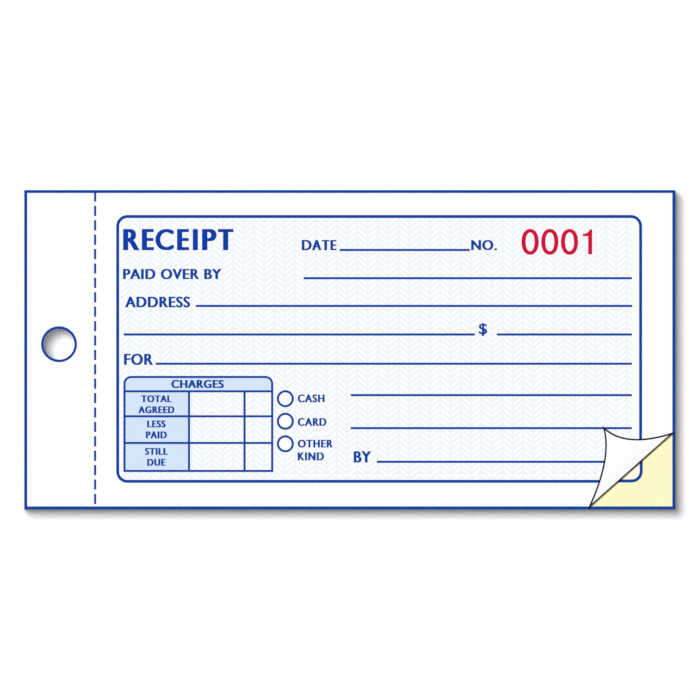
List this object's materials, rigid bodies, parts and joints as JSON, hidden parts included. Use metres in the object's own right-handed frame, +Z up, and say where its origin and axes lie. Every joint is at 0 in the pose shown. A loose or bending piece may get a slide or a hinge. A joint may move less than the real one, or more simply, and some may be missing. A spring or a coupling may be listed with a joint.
{
  "type": "duplicate receipt book",
  "caption": "Padded receipt book: perforated white originals over canary duplicates on a chipboard back, with a punched stub and pages that turn at the tear line.",
  "frame": {"origin": "on the surface that the book lies on, under the middle of its box", "axes": "+X from the bound stub to the free edge, +Y towards the top of the form, +Z up"},
  "size_m": [0.1428, 0.0698, 0.011],
  "materials": {
    "white_paper": "matt uncoated bond",
    "canary_paper": "matt uncoated bond",
    "chipboard": "matt grey-brown board",
    "adhesive": "soft satin film"
  },
  "bodies": {
    "book": {"backboard": "chipboard", "padding_adhesive": "adhesive", "original_1_stub": "white_paper", "duplicate_1_stub": "canary_paper", "original_2_stub": "white_paper", "duplicate_2_stub": "canary_paper", "original_3_stub": "white_paper", "duplicate_3_stub": "canary_paper", "original_4_stub": "white_paper", "duplicate_4_stub": "canary_paper", "lower_original_stubs": "white_paper", "lower_duplicate_stubs": "canary_paper"},
    "lower_pages": {"lower_original_leaves": "white_paper", "lower_duplicate_leaves": "canary_paper"},
    "duplicate_4_page": {"duplicate_4_leaf": "canary_paper"},
    "original_4_page": {"original_4_leaf": "white_paper"},
    "duplicate_3_page": {"duplicate_3_leaf": "canary_paper"},
    "original_3_page": {"original_3_leaf": "white_paper"},
    "duplicate_2_page": {"duplicate_2_leaf": "canary_paper"},
    "original_2_page": {"original_2_leaf": "white_paper"},
    "duplicate_1_page": {"duplicate_1_leaf": "canary_paper"},
    "original_1_page": {"original_1_leaf": "white_paper", "original_1_curled_corner": "white_paper"}
  },
  "joints": [
    {"name": "lower_pages_turn", "type": "hinge", "parent": "book", "child": "lower_pages", "pos_m": [-0.0555, 0, 0.0078], "axis": [0, -1, 0], "range_deg": [0, 180]},
    {"name": "duplicate_4_turn", "type": "hinge", "parent": "lower_pages", "child": "duplicate_4_page", "pos_m": [-0.0555, 0, 0.0078], "axis": [0, -1, 0], "range_deg": [0, 180]},
    {"name": "original_4_turn", "type": "hinge", "parent": "duplicate_4_page", "child": "original_4_page", "pos_m": [-0.0555, 0, 0.0078], "axis": [0, -1, 0], "range_deg": [0, 180]},
    {"name": "duplicate_3_turn", "type": "hinge", "parent": "original_4_page", "child": "duplicate_3_page", "pos_m": [-0.0555, 0, 0.0078], "axis": [0, -1, 0], "range_deg": [0, 180]},
    {"name": "original_3_turn", "type": "hinge", "parent": "duplicate_3_page", "child": "original_3_page", "pos_m": [-0.0555, 0, 0.0078], "axis": [0, -1, 0], "range_deg": [0, 180]},
    {"name": "duplicate_2_turn", "type": "hinge", "parent": "original_3_page", "child": "duplicate_2_page", "pos_m": [-0.0555, 0, 0.0078], "axis": [0, -1, 0], "range_deg": [0, 180]},
    {"name": "original_2_turn", "type": "hinge", "parent": "duplicate_2_page", "child": "original_2_page", "pos_m": [-0.0555, 0, 0.0078], "axis": [0, -1, 0], "range_deg": [0, 180]},
    {"name": "duplicate_1_turn", "type": "hinge", "parent": "original_2_page", "child": "duplicate_1_page", "pos_m": [-0.0555, 0, 0.0078], "axis": [0, -1, 0], "range_deg": [0, 180]},
    {"name": "original_1_turn", "type": "hinge", "parent": "duplicate_1_page", "child": "original_1_page", "pos_m": [-0.0555, 0, 0.0078], "axis": [0, -1, 0], "range_deg": [0, 180]}
  ]
}
